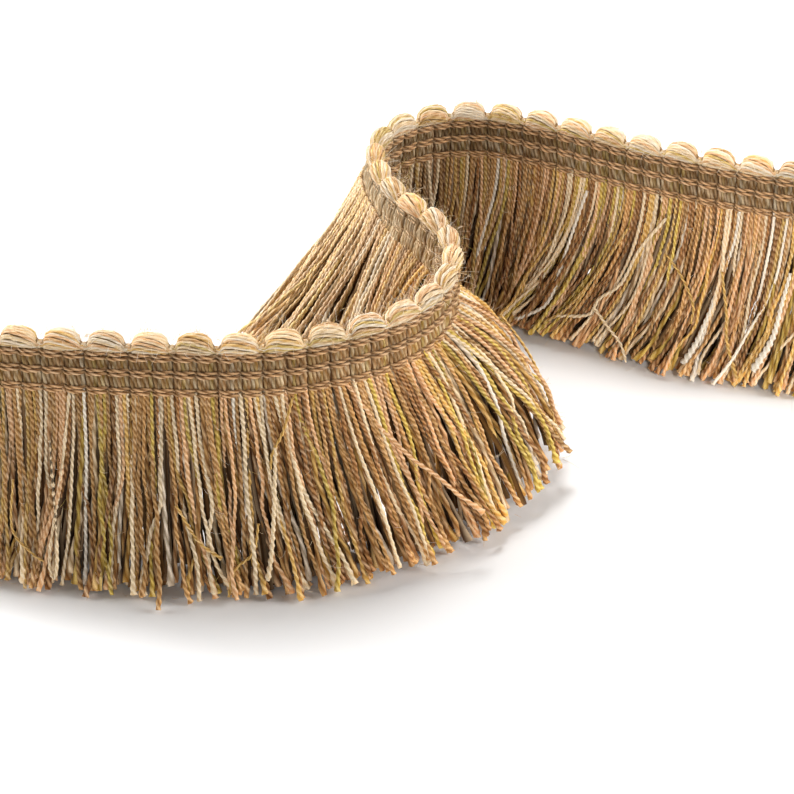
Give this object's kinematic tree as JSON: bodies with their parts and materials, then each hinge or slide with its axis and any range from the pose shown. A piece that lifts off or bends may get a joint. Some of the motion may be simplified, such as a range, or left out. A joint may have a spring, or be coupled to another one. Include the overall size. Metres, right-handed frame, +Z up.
{
  "type": "brush fringe trim",
  "caption": "Cut length of upholstery brush fringe standing on its cut skirt in an S, with a woven heading and a looped upper edge.",
  "frame": {"origin": "centre of the bounding box in the plan, on the surface that the cut tips rest on", "axes": "+Z up along the trim's height; +X the way the front run goes, left to right in the picture; +Y away from the viewer"},
  "size_m": [0.1894, 0.1276, 0.0504],
  "materials": {
    "heading_weave": "woven weft columns crossed by paired warp threads, matt",
    "fringe_yarn": "two-ply twisted yarns in tan, gold, cream and olive, matt"
  },
  "bodies": {
    "root": {"heading_band": "heading_weave", "fringe_skirt_01": "fringe_yarn", "fringe_skirt_02": "fringe_yarn", "fringe_skirt_03": "fringe_yarn", "fringe_skirt_04": "fringe_yarn", "fringe_skirt_05": "fringe_yarn", "fringe_skirt_06": "fringe_yarn", "fringe_skirt_07": "fringe_yarn", "fringe_skirt_08": "fringe_yarn", "fringe_skirt_09": "fringe_yarn", "fringe_skirt_10": "fringe_yarn", "fringe_skirt_11": "fringe_yarn", "fringe_skirt_12": "fringe_yarn", "fringe_skirt_13": "fringe_yarn", "fringe_skirt_14": "fringe_yarn", "fringe_skirt_15": "fringe_yarn", "fringe_skirt_16": "fringe_yarn"}
  },
  "joints": []
}
